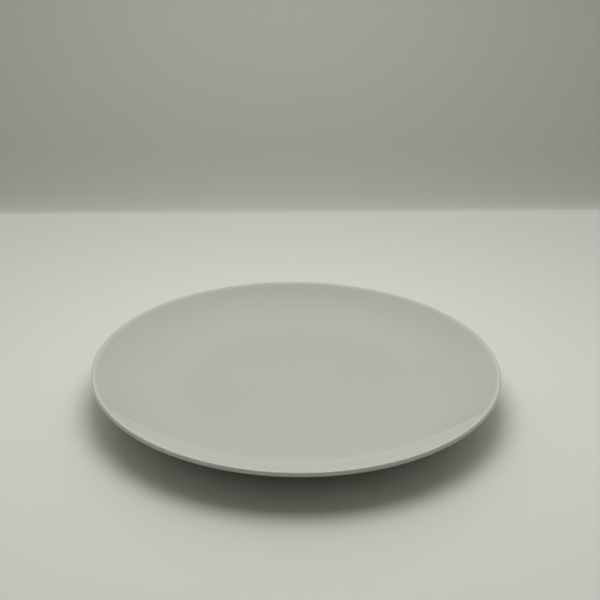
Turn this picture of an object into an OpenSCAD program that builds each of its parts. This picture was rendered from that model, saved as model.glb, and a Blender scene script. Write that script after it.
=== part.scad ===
// Coupe dinner plate: a turned dish without a rim ledge, on a foot ring.
// The clay body is glazed all over except where it stands. The glaze is two coats, parted by the bare
// foot: one over the face, the lip and the outside, and one inside the foot ring.
// The origin is at the middle of the foot's contact face, with +Z up. Sizes are in millimetres.

/* [Plate] */
// Diameter over the lip
plate_d = 270; // [200:1:320]
// Height from the table to the top of the lip
plate_h = 27; // [22:0.5:40]

/* [Well and wall] */
// Diameter of the flat floor, where the face starts to curve up
well_d = 138; // [90:1:160]
// Thickness of the floor, glaze included
floor_t = 5.5; // [3:0.1:8]
// Bow of the face from the well to the lip, from 1 for a straight cone to 2 for one arc
wall_bow = 1.74; // [1.2:0.01:1.95]

/* [Lip] */
// Radius of the soft roll from the face to the top of the lip
lip_top_r = 5; // [1.5:0.1:8]
// Radius of the tight edge between the top of the lip and its upright side
lip_edge_r = 0.9; // [0.8:0.1:2]
// Height of the lip's upright side between its two edges
lip_side_h = 1.1; // [0.2:0.1:3]
// Radius between the lip's upright side and the underside
lip_under_r = 1.4; // [0.8:0.1:3]

/* [Foot ring] */
// Diameter at the middle of the contact face
foot_d = 154; // [120:1:180]
// Width of the contact face between its two side walls
foot_w = 4.2; // [2.5:0.1:8]
// Height of the glazed base above the table, inside the foot ring
foot_h = 3.4; // [2:0.1:5]
// Lean of the foot's side walls from the vertical, in degrees
foot_lean = 20; // [5:1:35]
// Radius in the two corners where the foot meets the dish
foot_fillet = 1.6; // [0.5:0.1:2.5]
// Radius of the two worn edges of the contact face
foot_edge = 0.6; // [0.2:0.1:1]

/* [Glaze] */
// Thickness of the coat of glaze
glaze_t = 0.35; // [0.2:0.05:0.7]
// Height of the glaze line on the foot's side walls above the table
bare_h = 1; // [0.7:0.05:1.4]

/* [Hidden] */
$fn = 360;
// Most that a chord of the section may stand off its true arc
curve_tol = 0.008;
clay_colour = [0.86, 0.84, 0.79];
glaze_colour = [0.80, 0.80, 0.76];

// Distances along the section are [from the axis, above the table].
// Lip: a soft roll from the face, a tight edge, an upright side and a round to the underside.
lip_top_c = [plate_d / 2 - lip_edge_r, plate_h - lip_top_r];
lip_edge_c = [plate_d / 2 - lip_edge_r, plate_h - lip_edge_r];
lip_under_c = [plate_d / 2 - lip_under_r, lip_edge_c.y - lip_side_h];

// Face: flat to the edge of the well, an arc that leaves it level, a straight wall, then the lip's roll.
// The wall's slope lies between the face's own chord and twice that, which would leave no straight wall.
well_r = well_d / 2;
well_z = foot_h + floor_t;
dish_h = plate_h - well_z;
reach = lip_top_c.x - well_r;
slope = min(wall_bow, 1.98) * atan(dish_h / reach);
wall_run = (dish_h - reach * tan(slope / 2)) / (tan(slope) - tan(slope / 2));
face_r = (reach - wall_run) / sin(slope) - lip_top_r;
face_c = [well_r, well_z + face_r];

// Underside: an arc that would leave the base level under the edge of the well, and runs into the lip.
// The wall between the face and the underside thins from the floor to the lip.
under_to = lip_under_c - [well_r, foot_h];
under_r = (under_to * under_to - lip_under_r ^ 2) / (2 * (under_to.y - lip_under_r));
under_c = [well_r, foot_h + under_r];
under_end = heading(lip_under_c - under_c);

// Foot ring: side +1 is the outer wall and side -1 the inner wall.
// Each wall starts at its bare corner on the table and leans away from the contact face as it rises.
fillet_room = (foot_h - bare_h + glaze_t * sin(foot_lean)) / (1 - sin(foot_lean));
fillet_r = min(foot_fillet, fillet_room);
fillet_off = glaze_t + fillet_r;

function foot_corner(side) = [(foot_d + side * foot_w) / 2, 0];
function wall_up(side) = [side * sin(foot_lean), cos(foot_lean)];
function wall_out(side) = [side * cos(foot_lean), -sin(foot_lean)];

// The point of a foot wall at a height, with the coat's outer skin at inset 0 and the clay at glaze_t
function wall_at(side, height, inset) =
    foot_corner(side) + wall_up(side) * height / cos(foot_lean) + wall_out(side) * (glaze_t - inset);

// Centre of the worn edge of the contact face
function edge_centre(side) =
    foot_corner(side) - wall_out(side) * foot_edge
    + wall_up(side) * foot_edge * (1 - sin(foot_lean)) / cos(foot_lean);

// Centre of the outer fillet, which touches the foot's outer wall and the underside's arc
fillet_from = foot_corner(1) + wall_out(1) * fillet_off - under_c;
fillet_along = fillet_from * wall_up(1);
fillet_reach = (under_r + fillet_r) ^ 2 - fillet_from * fillet_from;
outer_fillet_c = under_c + fillet_from
    - wall_up(1) * (fillet_along + sqrt(fillet_along ^ 2 + fillet_reach));
outer_fillet_top = heading(outer_fillet_c - under_c);

// Centre of the inner fillet, which touches the foot's inner wall and the flat base
inner_fillet_c = foot_corner(-1) + wall_out(-1) * fillet_off
    + wall_up(-1) * (foot_h - fillet_r + fillet_off * sin(foot_lean)) / cos(foot_lean);

// Direction of a vector in degrees, 0 away from the axis and 90 up
function heading(v) = atan2(v.y, v.x);

// Points of an arc between two headings, both ends included
function arc(centre, radius, from, to) =
    let (steps = ceil(abs(to - from) / (2 * acos(1 - curve_tol / radius))))
    [for (i = [0:steps])
        let (at = from + (to - from) * i / steps)
        centre + radius * [cos(at), sin(at)]];

// The outside of the plate, from the middle of the well over the lip to the outer glaze line
function outside(inset) = concat(
    [[0, well_z - inset]],
    arc(face_c, face_r + inset, -90, slope - 90),
    arc(lip_top_c, lip_top_r - inset, slope + 90, 90),
    arc(lip_edge_c, lip_edge_r - inset, 90, 0),
    arc(lip_under_c, lip_under_r - inset, 0, under_end),
    arc(under_c, under_r - inset, under_end, outer_fillet_top),
    arc(outer_fillet_c, fillet_r + inset, outer_fillet_top + 180, 180 - foot_lean),
    [wall_at(1, bare_h, inset)]
);

// The bare foot, from the outer glaze line over the contact face to the inner one
bare_foot = concat(
    arc(edge_centre(1), foot_edge, -foot_lean, -90),
    arc(edge_centre(-1), foot_edge, -90, foot_lean - 180)
);

// The recess inside the foot, from the inner glaze line to the middle of the base
function recess(inset) = concat(
    [wall_at(-1, bare_h, inset)],
    arc(inner_fillet_c, fillet_r + inset, foot_lean, 90),
    [[0, foot_h + inset]]
);

function backwards(points) = [for (i = [len(points) - 1:-1:0]) points[i]];

module turned(section) {
    rotate_extrude()
        polygon(section);
}

// Fired clay: the dish and its foot ring, turned from one section
module clay_body() {
    color(clay_colour)
        turned(concat(outside(glaze_t), bare_foot, recess(glaze_t)));
}

// Glaze over the face, the lip and the outside, down to the outer glaze line
module face_glaze() {
    color(glaze_colour)
        turned(concat(outside(0), backwards(outside(glaze_t))));
}

// Glaze on the base, inside the foot ring
module base_glaze() {
    color(glaze_colour)
        turned(concat(recess(0), backwards(recess(glaze_t))));
}

clay_body();
face_glaze();
base_glaze();
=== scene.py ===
from math import atan2, ceil, cos, pi, radians, sin, sqrt, tan, tau

import bpy
from mathutils import Matrix, Vector


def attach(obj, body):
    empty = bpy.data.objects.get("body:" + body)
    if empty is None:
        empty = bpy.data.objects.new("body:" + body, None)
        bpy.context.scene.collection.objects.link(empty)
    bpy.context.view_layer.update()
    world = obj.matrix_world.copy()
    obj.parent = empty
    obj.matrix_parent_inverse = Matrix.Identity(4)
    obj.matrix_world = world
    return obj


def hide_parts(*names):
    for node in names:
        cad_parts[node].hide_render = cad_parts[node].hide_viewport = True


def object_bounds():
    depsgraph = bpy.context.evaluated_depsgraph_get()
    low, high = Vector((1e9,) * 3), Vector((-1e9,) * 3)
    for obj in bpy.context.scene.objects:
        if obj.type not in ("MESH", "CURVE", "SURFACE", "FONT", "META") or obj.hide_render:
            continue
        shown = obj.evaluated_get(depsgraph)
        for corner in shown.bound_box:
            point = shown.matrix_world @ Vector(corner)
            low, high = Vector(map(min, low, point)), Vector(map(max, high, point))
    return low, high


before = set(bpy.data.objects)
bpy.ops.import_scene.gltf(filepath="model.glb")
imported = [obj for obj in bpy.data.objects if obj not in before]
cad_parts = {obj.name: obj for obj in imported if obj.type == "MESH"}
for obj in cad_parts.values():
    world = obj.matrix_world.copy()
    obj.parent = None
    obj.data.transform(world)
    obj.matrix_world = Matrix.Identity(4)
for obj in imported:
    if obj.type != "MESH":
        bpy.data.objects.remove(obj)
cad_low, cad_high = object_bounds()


# Fired clay body
# Pale stoneware, pressed over a mould and turned: one dish with a rolled lip and a foot ring.
# It is bare only where it stands, on the foot's contact face and the lower part of its walls.
# The face has sunk a little over the foot ring, so the ring shows faintly in the well.
plate_r = (cad_high.x - cad_low.x) / 2
plate_h = cad_high.z - cad_low.z
well_r = 0.069
floor_t = 0.0055
wall_bow = 1.9
lip_top_r = 0.0032
lip_edge_r = 0.0009
lip_edge_h = 0.0011
lip_under_r = 0.0014
foot_r = 0.077
foot_w = 0.0042
foot_h = 0.0034
foot_lean = radians(20)
foot_fillet = 0.0016
foot_edge_r = 0.0006
glaze_t = 0.00035
ring_mark_w = 0.004
ring_mark_d = 0.0001
clay_patch = 0.011
grain_size = 0.0004
grain_relief = 0.00003
turning_pitch = 0.00055
turning_relief = 0.1
scuff_size = 0.0025
scuff_from = 0.42
scuff_to = 0.68
worn_h = 0.00025
worn_polish = 0.12
iron_gap = 0.0016
iron_size = 0.00022
iron_share = 0.3
fine_clay_matt = 0.8
coarse_clay_matt = 0.92
iron_colour = (0.27, 0.24, 0.19)
clay_colour = (0.52, 0.49, 0.42)
pale_clay_colour = (0.64, 0.61, 0.54)

# Points of the section are Vector((distance from the axis, height above the table)).
# A heading is 0 away from the axis and a quarter turn up.
well_z = foot_h + floor_t
lip_top_c = Vector((plate_r - lip_edge_r, plate_h - lip_top_r))
lip_edge_c = Vector((plate_r - lip_edge_r, plate_h - lip_edge_r))
lip_under_c = Vector((plate_r - lip_under_r, lip_edge_c.y - lip_edge_h))


def heading(v):
    return atan2(v.y, v.x)


def towards(angle):
    return Vector((cos(angle), sin(angle)))


# The face leaves the well in an arc, runs a short way straight up the wall and rolls over the lip.
# A bow of 2 would be one arc all the way to the lip, and a bow of 1 a straight cone.
face_reach = lip_top_c.x - well_r
wall_slope = wall_bow * atan2(plate_h - well_z, face_reach)
half_rise = tan(wall_slope / 2)
wall_run = (plate_h - well_z - face_reach * half_rise) / (tan(wall_slope) - half_rise)
face_r = (face_reach - wall_run) / sin(wall_slope) - lip_top_r
face_c = Vector((well_r, well_z + face_r))
face_end = wall_slope - pi / 2

# The underside is an arc, too. It leaves the level of the base under the edge of the well and runs
# into the lip.
under_to = lip_under_c - Vector((well_r, foot_h))
under_r = (under_to.length_squared - lip_under_r**2) / (2 * (under_to.y - lip_under_r))
under_c = Vector((well_r, foot_h + under_r))
under_end = heading(lip_under_c - under_c)

# The foot ring's outer wall is side 1 and its inner wall side -1.
fillet_off = glaze_t + foot_fillet


def foot_corner(side):
    return Vector((foot_r + side * foot_w / 2, 0))


def wall_up(side):
    return Vector((side * sin(foot_lean), cos(foot_lean)))


def wall_out(side):
    return Vector((side * cos(foot_lean), -sin(foot_lean)))


def foot_edge_c(side):
    rise = foot_edge_r * (1 - sin(foot_lean)) / cos(foot_lean)
    return foot_corner(side) - wall_out(side) * foot_edge_r + wall_up(side) * rise


fillet_from = foot_corner(1) + wall_out(1) * fillet_off - under_c
fillet_along = fillet_from.dot(wall_up(1))
fillet_reach = (under_r + foot_fillet) ** 2 - fillet_from.length_squared
outer_fillet_drop = fillet_along + sqrt(fillet_along**2 + fillet_reach)
outer_fillet_c = under_c + fillet_from - wall_up(1) * outer_fillet_drop
outer_fillet_top = heading(outer_fillet_c - under_c)
inner_fillet_rise = (foot_h - foot_fillet + fillet_off * sin(foot_lean)) / cos(foot_lean)
inner_fillet_c = foot_corner(-1) + wall_out(-1) * fillet_off + wall_up(-1) * inner_fillet_rise

ring_step = 0.0012
arc_step = radians(4)
level_step = 0.0045
wall_step = 0.0006


def arc(centre, radius, start, end):
    sweep = abs(end - start)
    steps = ceil(max(sweep / arc_step, sweep * radius / ring_step))
    return [centre + radius * towards(start + (end - start) * i / steps) for i in range(steps + 1)]


def straight(start, end, step):
    """Points from the start up to, but without, the end."""
    steps = ceil((end - start).length / step)
    return [start.lerp(end, i / steps) for i in range(steps)]


def outside(inset):
    """From the middle of the well over the lip and down to the foot's outer fillet."""
    points = straight(Vector((0, well_z - inset)), Vector((well_r, well_z - inset)), level_step)
    points += arc(face_c, face_r + inset, -pi / 2, face_end)
    for p in points:
        p.y -= ring_mark_d * 0.5 ** (((p.x - foot_r) / ring_mark_w) ** 2)
    roll = arc(lip_top_c, lip_top_r - inset, face_end + pi, pi / 2)
    points += straight(points[-1], roll[0], wall_step)[1:]
    points += roll
    points += arc(lip_edge_c, lip_edge_r - inset, pi / 2, 0)[1:]
    points += arc(lip_under_c, lip_under_r - inset, 0, under_end)
    points += arc(under_c, under_r - inset, under_end, outer_fillet_top)[1:]
    points += arc(outer_fillet_c, foot_fillet + inset, outer_fillet_top + pi, pi - foot_lean)[1:]
    return points


def recess(inset):
    """From the foot's inner fillet to the middle of the base."""
    points = arc(inner_fillet_c, foot_fillet + inset, foot_lean, pi / 2)
    points += straight(Vector((0, foot_h + inset)), points[-1], level_step)[::-1]
    return points


def bare_foot():
    points = arc(foot_edge_c(1), foot_edge_r, -foot_lean, -pi / 2)
    points += arc(foot_edge_c(-1), foot_edge_r, -pi / 2, foot_lean - pi)
    return points


def smooth_object(name, vertices, faces):
    mesh = bpy.data.meshes.new(name)
    mesh.from_pydata(vertices, [], faces)
    mesh.shade_smooth()
    mesh.update()
    piece = bpy.data.objects.new(name, mesh)
    bpy.context.scene.collection.objects.link(piece)
    return piece


slices = 256
on_axis = 1e-7


def turned(name, section):
    """A closed mesh of revolution. section(angle) gives its outline, open at the axis or a closed loop."""
    vertices = []
    columns = []
    poles = {}
    for i in range(slices):
        angle = tau * i / slices
        column = []
        for row, p in enumerate(section(angle)):
            if p.x > on_axis:
                column.append(len(vertices))
                vertices.append((p.x * cos(angle), p.x * sin(angle), p.y))
                continue
            if row not in poles:
                poles[row] = len(vertices)
                vertices.append((0, 0, p.y))
            column.append(poles[row])
        columns.append(column)
    faces = []
    rows = len(columns[0])
    for column, beside in zip(columns, columns[1:] + columns[:1]):
        for row in range(rows):
            after = (row + 1) % rows
            if row in poles and after in poles:
                continue
            corners = [column[row], column[after], beside[after], beside[row]]
            faces.append(list(dict.fromkeys(corners)))
    return smooth_object(name, vertices, faces)


def clay_section(angle):
    return outside(glaze_t) + bare_foot() + recess(glaze_t)


clay_body = turned("fired_clay_body", clay_section)


def new_material(name):
    """A material, its node tree and its main shader."""
    material = bpy.data.materials.new(name)
    material.use_nodes = True
    return material, material.node_tree, material.node_tree.nodes["Principled BSDF"]


def add(tree, kind, inputs, **settings):
    """The outputs of a new shader node. A socket among the inputs is linked, and other values are set."""
    node = tree.nodes.new("ShaderNode" + kind)
    for name, value in settings.items():
        setattr(node, name, value)
    for name, value in inputs.items():
        if isinstance(value, bpy.types.NodeSocket):
            tree.links.new(value, node.inputs[name])
        else:
            node.inputs[name].default_value = value
    return node.outputs


def reckon(tree, operation, *values):
    return add(tree, "Math", dict(enumerate(values)), operation=operation)["Value"]


def blend(tree, value, low, high, at_low, at_high):
    """A smooth step from at_low, where the value is low, to at_high, where it is high."""
    limits = {"Value": value, "From Min": low, "From Max": high, "To Min": at_low, "To Max": at_high}
    return add(tree, "MapRange", limits, interpolation_type="SMOOTHSTEP")["Result"]


def ramp(tree, value, *colours):
    """A colour picked from evenly spaced ones by a value from 0 to 1."""
    node = tree.nodes.new("ShaderNodeValToRGB")
    for i in range(len(colours) - 2):
        node.color_ramp.elements.new((i + 1) / (len(colours) - 1))
    for stop, colour in zip(node.color_ramp.elements, colours):
        stop.color = (*colour, 1)
    tree.links.new(value, node.inputs["Fac"])
    return node.outputs["Color"]


def effect(name, result, **inputs):
    """An empty node group: its tree, its inputs and the socket of its result."""
    tree = bpy.data.node_groups.new(name, "ShaderNodeTree")
    for label, kind in inputs.items():
        tree.interface.new_socket(label, in_out="INPUT", socket_type="NodeSocket" + kind)
    tree.interface.new_socket(result, in_out="OUTPUT", socket_type="NodeSocketFloat")
    return tree, tree.nodes.new("NodeGroupInput").outputs, tree.nodes.new("NodeGroupOutput").inputs[result]


# How far a point is from the plate's axis.
axis_distance, given, result = effect("axis_distance", "Radius", Position="Vector")
flat = {0: given["Position"], 1: (1, 1, 0)}
across = add(axis_distance, "VectorMath", flat, operation="MULTIPLY")["Vector"]
axis_distance.links.new(add(axis_distance, "VectorMath", {0: across}, operation="LENGTH")["Value"], result)

# Soft unevenness around 0.5, mostly from 0.3 to 0.7, with patches of about the given size.
noise_detail = 2.5
noise_low = 0.3
noise_high = 0.7
unevenness, given, result = effect("unevenness", "Value", Position="Vector", Size="Float")
fineness = reckon(unevenness, "DIVIDE", 1, given["Size"])
patches = {"Vector": given["Position"], "Scale": fineness, "Detail": noise_detail}
unevenness.links.new(add(unevenness, "TexNoise", patches)["Fac"], result)

# Dots of the given radius in a share of the cells of a loose lattice, solid in the inner part.
dot_core = 0.5
scatter = {"Position": "Vector", "Spacing": "Float", "Size": "Float", "Share": "Float"}
specks, given, result = effect("specks", "Mask", **scatter)
lattice = {"Vector": given["Position"], "Scale": reckon(specks, "DIVIDE", 1, given["Spacing"])}
cell = add(specks, "TexVoronoi", lattice)
off_middle = reckon(specks, "MULTIPLY", cell["Distance"], given["Spacing"])
dot = blend(specks, off_middle, reckon(specks, "MULTIPLY", given["Size"], dot_core), given["Size"], 1, 0)
chance = add(specks, "SeparateColor", {"Color": cell["Color"]})["Red"]
chosen = reckon(specks, "LESS_THAN", chance, given["Share"])
specks.links.new(reckon(specks, "MULTIPLY", dot, chosen), result)

bare_clay, tree, shader = new_material("bare_clay")
place = add(tree, "TexCoord", {})["Object"]
height = add(tree, "SeparateXYZ", {"Vector": place})["Z"]
radius = add(tree, "Group", {"Position": place}, node_tree=axis_distance)["Radius"]
body_tone = add(tree, "Group", {"Position": place, "Size": clay_patch}, node_tree=unevenness)["Value"]
grain = add(tree, "Group", {"Position": place, "Size": grain_size}, node_tree=unevenness)["Value"]
iron = {"Position": place, "Spacing": iron_gap, "Size": iron_size, "Share": iron_share}
iron_spots = add(tree, "Group", iron, node_tree=specks)["Mask"]
turning = reckon(tree, "SINE", reckon(tree, "MULTIPLY", radius, tau / turning_pitch))
scuffs = add(tree, "Group", {"Position": place, "Size": scuff_size}, node_tree=unevenness)["Value"]
contact = blend(tree, height, 0, worn_h, 1, 0)

# The tone is 0.5 on clean clay, 0 in an iron spot and lower where tables have soiled the contact face.
clay_base_tone = 0.07
grain_tone = 0.5
patch_tone = 0.36
turning_tone = 0.03
soil_tone = 0.3
iron_tone = 0.45
soiling = reckon(tree, "MULTIPLY", contact, blend(tree, scuffs, scuff_from, scuff_to, 0, soil_tone))
tone = reckon(tree, "MULTIPLY_ADD", grain, grain_tone, clay_base_tone)
tone = reckon(tree, "MULTIPLY_ADD", body_tone, patch_tone, tone)
tone = reckon(tree, "MULTIPLY_ADD", turning, turning_tone, tone)
tone = reckon(tree, "SUBTRACT", tone, soiling)
tone = reckon(tree, "MULTIPLY_ADD", iron_spots, -iron_tone, tone)
tree.links.new(ramp(tree, tone, iron_colour, clay_colour, pale_clay_colour), shader.inputs["Base Color"])
matt = blend(tree, grain, noise_low, noise_high, fine_clay_matt, coarse_clay_matt)
matt = reckon(tree, "MULTIPLY_ADD", contact, -worn_polish, matt)
tree.links.new(matt, shader.inputs["Roughness"])
relief = reckon(tree, "MULTIPLY_ADD", turning, turning_relief, grain)
bump = add(tree, "Bump", {"Height": relief, "Strength": 1, "Distance": grain_relief})
tree.links.new(bump["Normal"], shader.inputs["Normal"])
clay_body.data.materials.append(bare_clay)
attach(clay_body, "root")
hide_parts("clay_body")


# Face glaze
# One coat of pale grey gloss glaze over the face, the lip and the outside, fired on to the clay.
# It ends in a rounded bead on the foot's outer wall, where the foot was wiped clean before firing.
bare_h = 0.001
bead_h = 0.0003
bead_steps = 6
line_wander = 0.00008
thin_from = 0.0018
thin_to = 0.0044
pale_from = 0.04
pale_to = 0.09
grey_from = 0.1
grey_to = 0.128
cloud_size = 0.04
mottle_size = 0.004
speck_gap = 0.006
speck_size = 0.0003
speck_share = 0.25
smear_size = 0.014
sharp_gloss = 0.01
soft_gloss = 0.025
glaze_ior = 1.5
ripple_size = 0.005
ripple_relief = 0.0000015
speck_colour = (0.345, 0.345, 0.308)
glaze_colour = (0.441, 0.441, 0.393)
thin_glaze_colour = (0.497, 0.497, 0.443)


def wall_at(side, height, inset):
    """A point on the foot's glazed wall, or under its surface by the inset."""
    return foot_corner(side) + wall_up(side) * height / cos(foot_lean) + wall_out(side) * (glaze_t - inset)


def glaze_bead(side, angle):
    """The rounded end of a coat on the foot's wall, on a line that a hand-held sponge left."""
    line = bare_h + line_wander * (sin(3 * angle + side) + sin(7 * angle) / 2 + sin(16 * angle + 2) / 3)
    turns = [radians(90 * i / bead_steps) for i in range(bead_steps + 1)]
    return [wall_at(side, line + bead_h * (1 - sin(t)), glaze_t * (1 - cos(t))) for t in turns]


def face_glaze_section(angle):
    return outside(0) + glaze_bead(1, angle) + outside(glaze_t)[::-1]


face_glaze = turned("face_glaze_coat", face_glaze_section)
gloss_glaze, tree, shader = new_material("gloss_glaze")
shader.inputs["IOR"].default_value = glaze_ior
place = add(tree, "TexCoord", {})["Object"]
height = add(tree, "SeparateXYZ", {"Vector": place})["Z"]
radius = add(tree, "Group", {"Position": place}, node_tree=axis_distance)["Radius"]
from_edge = reckon(tree, "SUBTRACT", plate_r, radius)
from_top = reckon(tree, "SUBTRACT", plate_h, height)
to_lip = add(tree, "CombineXYZ", {"X": from_edge, "Z": from_top})["Vector"]
lip_distance = add(tree, "VectorMath", {0: to_lip}, operation="LENGTH")["Value"]
clouds = add(tree, "Group", {"Position": place, "Size": cloud_size}, node_tree=unevenness)["Value"]
mottle = add(tree, "Group", {"Position": place, "Size": mottle_size}, node_tree=unevenness)["Value"]
dark = {"Position": place, "Spacing": speck_gap, "Size": speck_size, "Share": speck_share}
dark_specks = add(tree, "Group", dark, node_tree=specks)["Mask"]
on_ring = reckon(tree, "DIVIDE", reckon(tree, "SUBTRACT", radius, foot_r), ring_mark_w)
ring_mark = reckon(tree, "POWER", 0.5, reckon(tree, "MULTIPLY", on_ring, on_ring))

# The tone is 0.5 on an even coat, up to 1 where it runs thin over the lip, and low in a dark speck.
# It rises a little towards the wall, comes down again near the lip and dips along the ring mark.
glaze_base_tone = 0.42
cloud_tone = 0.16
mottle_tone = 0.05
thin_tone = 0.44
pale_tone = 0.08
grey_tone = 0.1
ring_tone = 0.008
speck_tone = 0.3
ring_mark = reckon(tree, "MULTIPLY", ring_mark, blend(tree, height, foot_h, well_z, 0, ring_tone))
tone = reckon(tree, "MULTIPLY_ADD", clouds, cloud_tone, glaze_base_tone)
tone = reckon(tree, "MULTIPLY_ADD", mottle, mottle_tone, tone)
tone = reckon(tree, "ADD", tone, blend(tree, lip_distance, thin_from, thin_to, thin_tone, 0))
tone = reckon(tree, "ADD", tone, blend(tree, radius, pale_from, pale_to, 0, pale_tone))
tone = reckon(tree, "SUBTRACT", tone, blend(tree, radius, grey_from, grey_to, 0, grey_tone))
tone = reckon(tree, "SUBTRACT", tone, ring_mark)
tone = reckon(tree, "MULTIPLY_ADD", dark_specks, -speck_tone, tone)
tree.links.new(ramp(tree, tone, speck_colour, glaze_colour, thin_glaze_colour), shader.inputs["Base Color"])
smear = add(tree, "Group", {"Position": place, "Size": smear_size}, node_tree=unevenness)["Value"]
gloss = blend(tree, smear, noise_low, noise_high, sharp_gloss, soft_gloss)
tree.links.new(gloss, shader.inputs["Roughness"])
ripple = add(tree, "Group", {"Position": place, "Size": ripple_size}, node_tree=unevenness)["Value"]
bump = add(tree, "Bump", {"Height": ripple, "Strength": 1, "Distance": ripple_relief})
tree.links.new(bump["Normal"], shader.inputs["Normal"])
face_glaze.data.materials.append(gloss_glaze)
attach(face_glaze, "root")
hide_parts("face_glaze")


# Base glaze
# The same glaze inside the foot ring, a flat disc that turns down into the foot's inner wall.
# The bare foot keeps it apart from the face's coat, so it is a piece of its own with its own bead.
def base_glaze_section(angle):
    return glaze_bead(-1, angle)[::-1] + recess(0) + recess(glaze_t)[::-1]


base_glaze = turned("base_glaze_coat", base_glaze_section)
base_glaze.data.materials.append(gloss_glaze)
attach(base_glaze, "root")
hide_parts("base_glaze")


# Floor and back wall
# A plain pale table top, and behind it a sheet of pale card that stands upright and leans back a little.
# The card bends forward at its foot and lies down on the table, so their meeting line is soft.
# It is there for the camera only: the light and what the glaze mirrors come from the surround.
stage_half = 12.0
floor_drop = 0.00005
floor_colour = (0.61, 0.61, 0.55)
card_roughness = 0.7
card_gloss = 0.2
wall_y = 0.392
wall_turn = radians(3.2)
wall_h = 0.5
wall_lean = 1.4
lean_steps = 12
wall_colour = (0.564, 0.568, 0.51)
bend_h = 0.06
bend_d = 0.03
bend_steps = 16


def sheet(name, rows, colour):
    """A strip of quads through rows of two points each, seen only from its front."""
    corners = [point for row in rows for point in row]
    quads = [(2 * i, 2 * i + 1, 2 * i + 3, 2 * i + 2) for i in range(len(rows) - 1)]
    piece = smooth_object(name, corners, quads)
    card, tree, shader = new_material(name)
    shader.inputs["Base Color"].default_value = (*colour, 1)
    shader.inputs["Roughness"].default_value = card_roughness
    shader.inputs["Specular IOR Level"].default_value = card_gloss
    facing_away = add(tree, "NewGeometry", {})["Backfacing"]
    clear = add(tree, "BsdfTransparent", {})["BSDF"]
    side = add(tree, "MixShader", {"Fac": facing_away, 1: shader.outputs["BSDF"], 2: clear})["Shader"]
    tree.links.new(side, tree.nodes["Material Output"].inputs["Surface"])
    piece.data.materials.append(card)
    return piece


stage_ends = (-stage_half, stage_half)
sheet("table_top", [[(x, y, -floor_drop) for x in stage_ends] for y in stage_ends], floor_colour)

bend_turns = [pi / 2 * i / bend_steps for i in range(bend_steps + 1)]
wall_side = [(bend_d * (sin(t) - 1), bend_h * (1 - cos(t))) for t in bend_turns]
lean_rises = [(wall_h - bend_h) * (i + 1) / lean_steps for i in range(lean_steps)]
wall_side += [(wall_lean * rise**2, bend_h + rise) for rise in lean_rises]
wall = sheet("back_wall", [[(x, y, z) for x in stage_ends] for y, z in wall_side], wall_colour)
wall.location = (0, wall_y, 0)
wall.rotation_euler.z = wall_turn
wall.visible_diffuse = False
wall.visible_glossy = False
wall.visible_shadow = False


# Light
# A soft panel close over the plate, a wide one high above it and a surround that is brighter behind.
# The glaze mirrors the near panel and a plain dim room with two soft glows behind the plate, one wide
# and high up, the other weak, narrow and low.
near_size = (0.30, 0.33)
near_at = (0, 0.01, 0.45)
near_aim = (0, 0.01, 0)
near_radiance = 3.65
wide_size = (2.0, 1.0)
wide_at = (0, 0.5, 1.3)
wide_aim = (0, 0, 0)
wide_radiance = 0.57
surround_glow = 0.25
back_glow = 1.75
room_glow = 0.135
high_glow = 0.68
high_glow_up = radians(62)
high_glow_focus = 12
low_glow = 0.1
low_glow_up = radians(8)
low_glow_focus = 80
low_glow_narrowing = (3, 1, 1)
backdrop_glow = 0.34


def soft_panel(name, size, at, aim, radiance, mirrored):
    data = bpy.data.lights.new(name, "AREA")
    data.shape = "RECTANGLE"
    data.size, data.size_y = size
    data.energy = radiance * pi * size[0] * size[1]
    lamp = bpy.data.objects.new(name, data)
    lamp.location = at
    lamp.rotation_euler = (Vector(aim) - Vector(at)).to_track_quat("-Z", "Y").to_euler()
    lamp.visible_camera = False
    lamp.visible_glossy = mirrored
    bpy.context.scene.collection.objects.link(lamp)


soft_panel("near_panel", near_size, near_at, near_aim, near_radiance, mirrored=True)
soft_panel("wide_panel", wide_size, wide_at, wide_aim, wide_radiance, mirrored=False)


def soft_spot(tree, direction, up, focus):
    """A spot on the surround behind the plate, 1 in its middle and fading outward."""
    middle = Vector((0, cos(up), sin(up)))
    nearness = add(tree, "VectorMath", {0: direction, 1: middle}, operation="DOT_PRODUCT")["Value"]
    return reckon(tree, "POWER", reckon(tree, "MAXIMUM", nearness, 0), focus)


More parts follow.
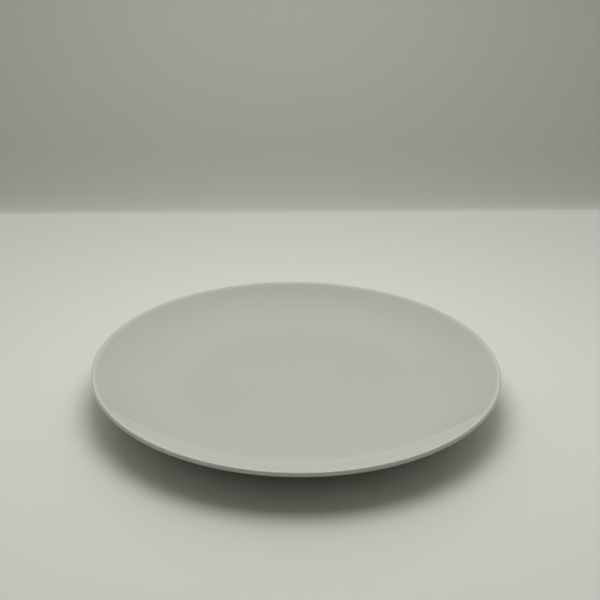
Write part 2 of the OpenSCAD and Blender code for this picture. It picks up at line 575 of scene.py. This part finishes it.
surround = bpy.data.worlds.new("surround")
surround.use_nodes = True
tree = surround.node_tree
toward = add(tree, "TexCoord", {})["Generated"]
behind = reckon(tree, "MAXIMUM", add(tree, "SeparateXYZ", {"Vector": toward})["Y"], 0)
lit = reckon(tree, "MULTIPLY_ADD", reckon(tree, "MULTIPLY", behind, behind), back_glow, surround_glow)
high_spot = soft_spot(tree, toward, high_glow_up, high_glow_focus)
narrowed = add(tree, "VectorMath", {0: toward, 1: low_glow_narrowing}, operation="MULTIPLY")["Vector"]
narrowed = add(tree, "VectorMath", {0: narrowed}, operation="NORMALIZE")["Vector"]
low_spot = soft_spot(tree, narrowed, low_glow_up, low_glow_focus)
mirrored = reckon(tree, "MULTIPLY_ADD", high_spot, high_glow, room_glow)
mirrored = reckon(tree, "MULTIPLY_ADD", low_spot, low_glow, mirrored)
rays = add(tree, "LightPath", {})
strength = add(tree, "Mix", {"Factor": rays["Is Glossy Ray"], "A": lit, "B": mirrored})["Result"]
strength = add(tree, "Mix", {"Factor": rays["Is Camera Ray"], "A": strength, "B": backdrop_glow})["Result"]
tree.links.new(strength, tree.nodes["Background"].inputs["Strength"])
tree.nodes["Background"].inputs["Color"].default_value = (1, 1, 1, 1)
bpy.context.scene.world = surround


# Camera
# It stands in front of the plate and looks down on it, as in the photograph, with a slight roll.
# Everything in the picture is sharp.
camera_back = 0.7101
camera_up = 0.3952
camera_down = radians(24.426)
camera_yaw = radians(0.146)
camera_roll = radians(0.79)
sensor_width = 36
lens_length = 72
camera_data = bpy.data.cameras.new("camera")
camera_data.sensor_width = sensor_width
camera_data.lens = lens_length
camera = bpy.data.objects.new("camera", camera_data)
bpy.context.scene.collection.objects.link(camera)
stand = Matrix.Translation((0, -camera_back, camera_up))
turn = Matrix.Rotation(-camera_yaw, 4, "Z") @ Matrix.Rotation(pi / 2 - camera_down, 4, "X")
camera.matrix_world = stand @ turn @ Matrix.Rotation(camera_roll, 4, "Z")
bpy.context.scene.camera = camera
bpy.context.scene.view_settings.view_transform = "Standard"
